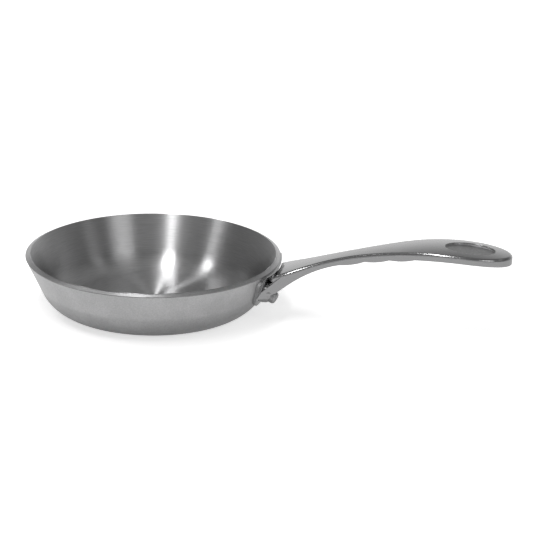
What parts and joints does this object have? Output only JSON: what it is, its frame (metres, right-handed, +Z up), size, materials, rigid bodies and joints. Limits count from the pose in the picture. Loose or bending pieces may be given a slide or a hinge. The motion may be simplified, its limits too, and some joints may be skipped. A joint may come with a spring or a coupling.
{
  "type": "omelette pan",
  "caption": "Round, flare-walled metal omelette pan with a flat base, a fixed cast handle riveted to its wall, finger grips under the handle and an oval recess in its paddle end.",
  "frame": {"origin": "Centre of the flat underside of the pan body, on the surface the pan stands on.", "axes": "+Z is up through the open mouth. +X runs along the handle, from the pan's centre to the paddle end. +Y is to the left of someone looking along the handle from the pan."},
  "size_m": [0.3867, 0.2036, 0.0699],
  "materials": {
    "satin_steel_outer": "satin stainless steel, grain running round the wall",
    "satin_steel_inner": "circular brushed stainless steel",
    "core_aluminium": "plain, sealed in",
    "cast_steel": "satin cast stainless steel, grain along the handle",
    "rivet_steel": "smooth stainless steel"
  },
  "bodies": {
    "root": {"pan_outer_skin": "satin_steel_outer", "pan_core": "core_aluminium", "pan_inner_skin": "satin_steel_inner", "handle": "cast_steel", "rivet_left": "rivet_steel", "rivet_right": "rivet_steel", "rivet_top": "rivet_steel"}
  },
  "joints": []
}
